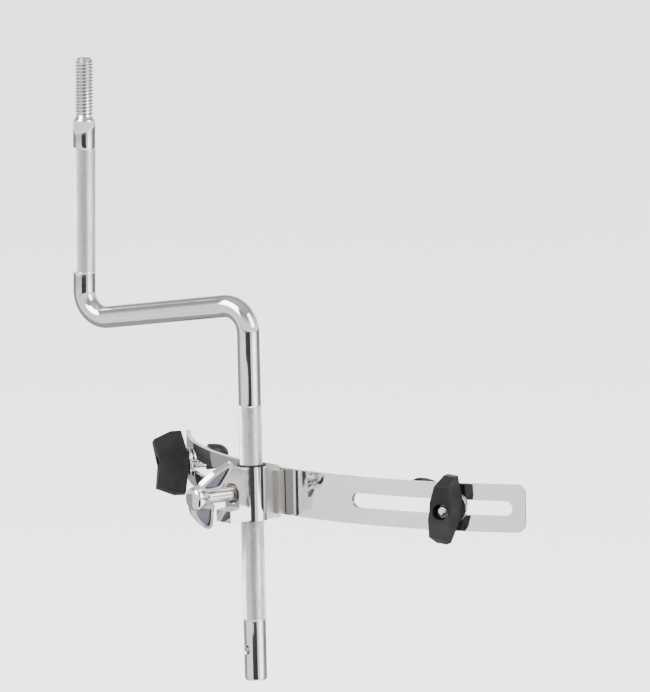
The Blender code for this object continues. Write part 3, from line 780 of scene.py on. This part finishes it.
def fan(name, rim, z, rgb, steps=24):
    """A flat sector on the floor round the object that only the chrome sees: (radius, from, to) rows."""
    bm = bmesh.new()
    rows = []
    for r, az0, az1 in rim:
        row = []
        for k in range(steps + 1):
            a = math.radians(CAM_AZ + az0 + (az1 - az0) * k / steps)
            row.append(bm.verts.new((math.sin(a) * r, -math.cos(a) * r, z)))
        rows.append(row)
    for p, q in zip(rows, rows[1:]):
        for k in range(steps):
            bm.faces.new((p[k], p[k + 1], q[k + 1], q[k]))
    ob = new_object(name, bm, (stage_material(name + "_paint", rgb, 0.9),))
    ob.visible_camera = ob.visible_diffuse = ob.visible_shadow = False
    return ob


def direction(azimuth, elevation):
    """Unit vector from the object: azimuth 0 is the band's outer side, seen straight on."""
    a, e = math.radians(azimuth), math.radians(elevation)
    return Vector((math.sin(a) * math.cos(e), -math.cos(a) * math.cos(e), math.sin(e)))


def area(name, azimuth, elevation, distance, size, power):
    ob = link(name, bpy.data.lights.new(name, "AREA"))
    ob.data.shape, ob.data.size, ob.data.energy = "SQUARE", size, power
    d = direction(azimuth, elevation)
    ob.location = d * distance
    ob.rotation_mode = "QUATERNION"
    ob.rotation_quaternion = d.to_track_quat("Z", "Y")
    return ob


world = bpy.context.scene.world or bpy.data.worlds.new("studio")
bpy.context.scene.world = world
world.use_nodes = True
wt = world.node_tree
bg = wt.nodes["Background"]
bg.inputs["Strength"].default_value = 1.6
coord = wt.nodes.new("ShaderNodeTexCoord")
split = wt.nodes.new("ShaderNodeSeparateXYZ")
wt.links.new(coord.outputs["Generated"], split.inputs["Vector"])
sky = ramp(wt, split.outputs["Z"], [(0.0, (1.0, 1.0, 1.0)), (0.28, (0.80, 0.80, 0.81)),
                                    (0.6, (0.26, 0.26, 0.28)), (1.0, (0.5, 0.5, 0.5))])
wt.links.new(sky.outputs["Color"], bg.inputs["Color"])

# camera: degrees, metres, millimetres, and the aim beside and above the rod as tangents
CAM_AZ, CAM_EL, CAM_ROLL = 52.764, 9.001, -1.342
CAM_DIST, LENS_MM = 1.8039, 219.957
PAN, TILT = 0.0173085, 0.0345720

area("key_softbox", CAM_AZ - 55, 42, 2.2, 1.6, 85)
area("fill_softbox", CAM_AZ + 60, 30, 2.4, 1.6, 45)
sun = link("overhead_sky", bpy.data.lights.new("overhead_sky", "SUN"))
sun.data.energy, sun.data.angle = 8.0, math.radians(50)
sun.rotation_euler = (math.radians(24), math.radians(-16), 0)
sun.visible_glossy = False

FLAG_REACH = 14.0
fan("flag_all", ((0.03, -180, 180), (FLAG_REACH, -180, 180)), FLOOR_Z + 0.003, (0.32, 0.32, 0.323), 48)
fan("flag_front", ((0.05, -30, 20), (0.66, -30, 20), (0.78, -12, 21), (1.14, -12, 21), (1.28, -30, 20),
                   (FLAG_REACH, -30, 20)), FLOOR_Z + 0.006, (0.008, 0.008, 0.009))
for name, az0, az1, rgb in (
        ("flag_left", -180, -98, (0.11, 0.11, 0.113)), ("flag_right", 98, 180, (0.09, 0.09, 0.093)),
        ("flag_light", 42, 80, (0.95, 0.95, 0.95))):
    fan(name, ((0.05, az0, az1), (FLAG_REACH, az0, az1)), FLOOR_Z + 0.006, rgb)

back = direction(CAM_AZ, CAM_EL)
level = Vector((math.cos(math.radians(CAM_AZ)), math.sin(math.radians(CAM_AZ)), 0))
roll = math.radians(CAM_ROLL)
side = level * math.cos(roll) + back.cross(level) * math.sin(roll)
up = back.cross(level) * math.cos(roll) - level * math.sin(roll)
cam_z = (back - side * PAN - up * TILT).normalized()
cam_x = up.cross(cam_z).normalized()
cam = link("camera", bpy.data.cameras.new("camera"))
cam_m = Matrix((cam_x, cam_z.cross(cam_x), cam_z)).transposed().to_4x4()
cam_m.translation = Vector((0, ROD_Y * MM, 0)) + back * CAM_DIST
cam.matrix_world = cam_m
cam.data.sensor_width = 36.0
cam.data.lens = LENS_MM
cam.data.clip_start, cam.data.clip_end = 0.05, 100.0
bpy.context.scene.camera = cam
